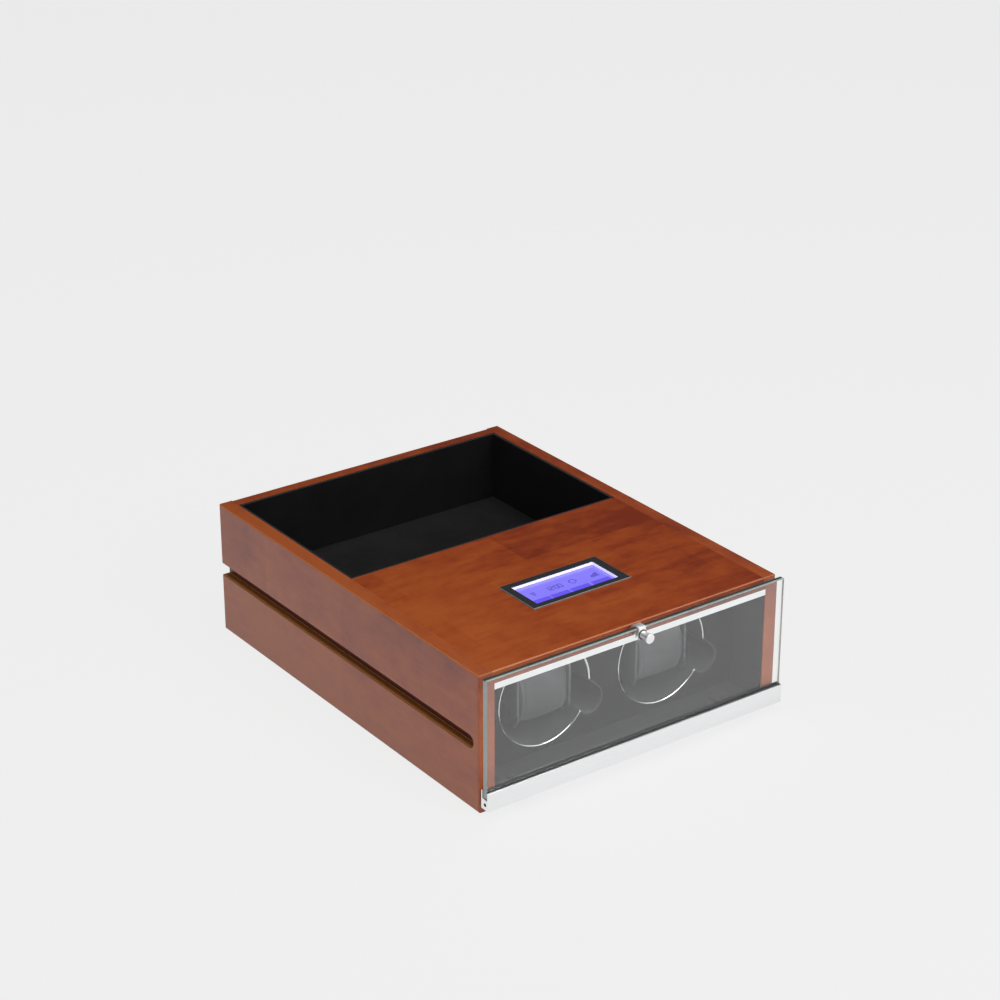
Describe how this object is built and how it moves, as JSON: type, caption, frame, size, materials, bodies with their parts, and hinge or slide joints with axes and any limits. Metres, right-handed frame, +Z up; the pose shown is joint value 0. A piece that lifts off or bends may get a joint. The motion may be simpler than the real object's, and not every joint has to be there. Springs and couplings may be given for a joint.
{
  "type": "watch winder box",
  "caption": "Drawer-style wooden watch winder box with a glass drop door, winder wells, deck display, open lined tray and side runner grooves.",
  "frame": {"origin": "middle of the case's underside", "axes": "+X to the right seen from the door, +Y from the door to the back, +Z up"},
  "size_m": [0.301, 0.4111, 0.1224],
  "materials": {
    "stained_wood": "satin lacquer over a red-brown stain",
    "inner_board": "bare sheet board",
    "dowel_wood": "turned beech",
    "black_lining": "short black nap",
    "fascia_black": "matt black",
    "chrome_trim": "polished",
    "well_black": "flocked black",
    "rotor_black": "fine moulded texture",
    "pad_suede": "dark grey suede cloth",
    "bright_steel": "zinc plated",
    "bush_brass": "turned",
    "pulley_plastic": "natural moulding",
    "belt_rubber": "flat belt",
    "gasket_rubber": "soft black strip",
    "bezel_black": "satin black",
    "frame_white": "white",
    "display_blue": "backlit liquid crystal",
    "circuit_board": "green solder mask",
    "channel_aluminium": "bright anodised",
    "light_opal": "opal",
    "door_glass": "clear float glass with polished edges",
    "lead_sheath": "round sheathed lead"
  },
  "bodies": {
    "case": {"back_panel": "stained_wood", "board_standoffs": "pulley_plastic", "bottom_panel": "inner_board", "bulkhead": "inner_board", "case_dowels": "dowel_wood", "display_bezel": "bezel_black", "display_board": "circuit_board", "display_frame": "frame_white", "display_panel": "display_blue", "door_magnet": "bright_steel", "drive_plate": "bright_steel", "driver_board": "circuit_board", "fascia": "fascia_black", "floor_lining": "black_lining", "foot_screws": "bright_steel", "hinge_brackets": "bright_steel", "hinge_screws": "bright_steel", "inlet_nut": "bezel_black", "left_drive_belt": "belt_rubber", "left_gear_motor": "bright_steel", "left_shaft_bush": "bush_brass", "left_side_panel": "stained_wood", "left_trim_ring": "chrome_trim", "left_well": "well_black", "light_diffuser": "light_opal", "light_housing": "channel_aluminium", "light_strip": "circuit_board", "motor_bracket": "bright_steel", "motor_screws": "bright_steel", "power_inlet": "bezel_black", "right_drive_belt": "belt_rubber", "right_gear_motor": "bright_steel", "right_shaft_bush": "bush_brass", "right_side_panel": "stained_wood", "right_trim_ring": "chrome_trim", "right_well": "well_black", "side_linings": "black_lining", "top_deck": "stained_wood", "tray_base_board": "inner_board", "tray_floor_pad": "black_lining", "tray_liner": "black_lining", "wiring_leads": "lead_sheath"},
    "door": {"door_glass": "door_glass", "door_channel": "channel_aluminium", "glass_gasket": "gasket_rubber", "hinge_pins": "bright_steel", "knob_clip": "chrome_trim", "door_knob": "chrome_trim"},
    "left_rotor": {"left_turntable": "rotor_black", "left_rotor_shaft": "bright_steel", "left_driven_pulley": "pulley_plastic"},
    "left_cuff": {"left_cuff_core": "rotor_black", "left_cuff_pad": "pad_suede"},
    "left_drive": {"left_motor_pulley": "pulley_plastic"},
    "right_rotor": {"right_turntable": "rotor_black", "right_rotor_shaft": "bright_steel", "right_driven_pulley": "pulley_plastic"},
    "right_cuff": {"right_cuff_core": "rotor_black", "right_cuff_pad": "pad_suede"},
    "right_drive": {"right_motor_pulley": "pulley_plastic"}
  },
  "joints": [
    {"name": "door_hinge", "type": "hinge", "parent": "case", "child": "door", "pos_m": [0, -0.2025, 0.012], "axis": [1, 0, 0], "range_deg": [0, 85]},
    {"name": "left_rotor_spin", "type": "hinge", "parent": "case", "child": "left_rotor", "pos_m": [-0.06, -0.104, 0.06], "axis": [0, 1, 0], "continuous": true},
    {"name": "left_cuff_pull", "type": "slide", "parent": "left_rotor", "child": "left_cuff", "axis": [0, -1, 0], "range_m": [0, 0.03]},
    {"name": "left_motor_spin", "type": "hinge", "parent": "case", "child": "left_drive", "pos_m": [-0.014, -0.083, 0.06], "axis": [0, 1, 0], "continuous": true},
    {"name": "right_rotor_spin", "type": "hinge", "parent": "case", "child": "right_rotor", "pos_m": [0.06, -0.104, 0.06], "axis": [0, 1, 0], "continuous": true},
    {"name": "right_cuff_pull", "type": "slide", "parent": "right_rotor", "child": "right_cuff", "axis": [0, -1, 0], "range_m": [0, 0.03]},
    {"name": "right_motor_spin", "type": "hinge", "parent": "case", "child": "right_drive", "pos_m": [0.014, -0.083, 0.06], "axis": [0, 1, 0], "continuous": true}
  ],
  "couplings": [
    {"joint": "left_motor_spin", "follows": "left_rotor_spin", "ratio": 4.3},
    {"joint": "right_motor_spin", "follows": "right_rotor_spin", "ratio": 4.3}
  ]
}
